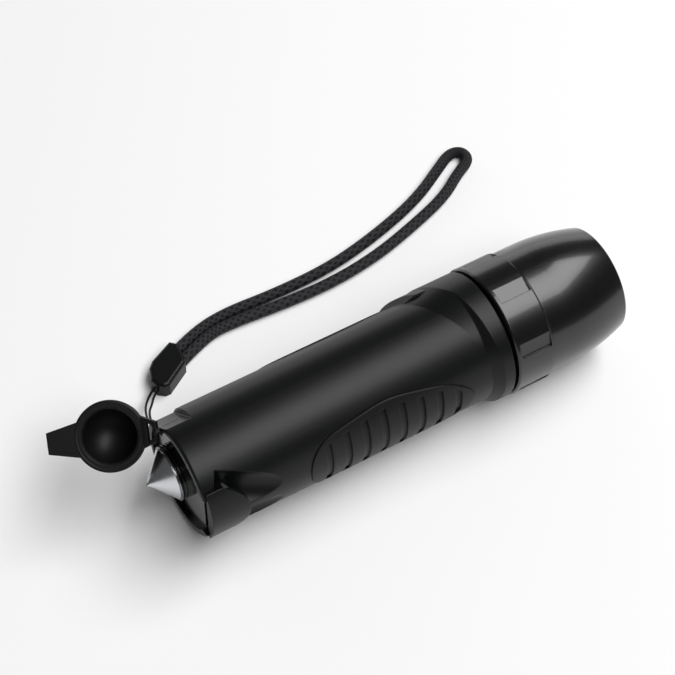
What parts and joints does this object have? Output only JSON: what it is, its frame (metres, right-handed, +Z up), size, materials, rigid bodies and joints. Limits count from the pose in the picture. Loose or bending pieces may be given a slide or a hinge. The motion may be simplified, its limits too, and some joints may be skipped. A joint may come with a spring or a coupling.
{
  "type": "flashlight",
  "caption": "Emergency torch with a screw-on head, rubber side grips, a glass-breaker point under a tethered cap, a belt cutter and a wrist lanyard",
  "frame": {"origin": "centre of the head's flat front rim", "axes": "+X is the way the beam points, +Y is the side with the switch button, +Z is up as the torch lies on a floor"},
  "size_m": [0.1932, 0.1107, 0.044],
  "materials": {
    "abs_black": "satin",
    "tpe_grip": "soft matt",
    "anodised_black": "satin anodised",
    "boss_black": "gloss",
    "steel_bright": "ground and polished",
    "steel_zinc": "zinc plated",
    "blade_steel": "ground",
    "rubber_black": "matt",
    "carrier_black": "matt",
    "cell_wrap": "printed film, plain",
    "brass_contact": "bright",
    "nickel_contact": "nickel plated",
    "board_green": "solder mask",
    "lens_clear": "clear",
    "reflector_chrome": "vacuum metallised",
    "led_yellow": "phosphor",
    "aluminium_raw": "turned",
    "cord_nylon": "braided"
  },
  "bodies": {
    "root": {"body_shell": "abs_black", "left_grip": "tpe_grip", "right_grip": "tpe_grip", "neck_o_ring": "rubber_black", "tail_plate": "boss_black", "hammer_tip": "steel_bright", "hammer_washer": "steel_zinc", "hammer_nut": "steel_zinc", "cutter_guard": "abs_black", "cutter_blade": "blade_steel", "cap_anchor": "rubber_black", "battery_carrier": "carrier_black", "battery_cell_1": "cell_wrap", "battery_cell_2": "cell_wrap", "battery_cell_3": "cell_wrap", "carrier_contacts": "nickel_contact", "carrier_terminal": "brass_contact", "carrier_springs": "nickel_contact", "rear_contact_plate": "nickel_contact", "rear_contact_spring": "nickel_contact", "contact_strip": "brass_contact", "switch_board": "board_green", "switch_dome": "nickel_contact", "switch_ring": "abs_black", "lanyard_cord": "cord_nylon", "lanyard_clasp": "abs_black", "lanyard_strap": "cord_nylon"},
    "button": {"switch_button": "rubber_black"},
    "cap": {"hammer_cap": "rubber_black"},
    "head": {"grip_ring": "anodised_black", "head_bell": "anodised_black", "lens_retainer": "anodised_black"},
    "light_engine": {"lens": "lens_clear", "lens_gasket": "rubber_black", "reflector": "reflector_chrome", "led_board": "board_green", "led_emitter": "led_yellow", "heat_sink": "aluminium_raw", "driver_board": "board_green", "contact_spring": "nickel_contact"}
  },
  "joints": [
    {"name": "switch_press", "type": "slide", "parent": "root", "child": "button", "axis": [0, -1, 0], "range_m": [0, 0.0008], "stiffness_N_per_m": 800},
    {"name": "cap_hinge", "type": "hinge", "parent": "root", "child": "cap", "pos_m": [-0.15403, 0.00873, 0.0145], "axis": [0.5491, -0.2354, 0.8019], "range_deg": [-8, 158.8], "stiffness_Nm_per_rad": 0.01},
    {"name": "head_advance", "type": "slide", "parent": "root", "child": "light_engine", "axis": [1, 0, 0], "range_m": [0, 0.0081]},
    {"name": "head_twist", "type": "hinge", "parent": "light_engine", "child": "head", "pos_m": [-0.037, 0, 0], "axis": [1, 0, 0], "range_deg": [0, 1440]}
  ],
  "couplings": [
    {"joint": "head_advance", "follows": "head_twist", "m_per_rad": 0.00031831}
  ]
}
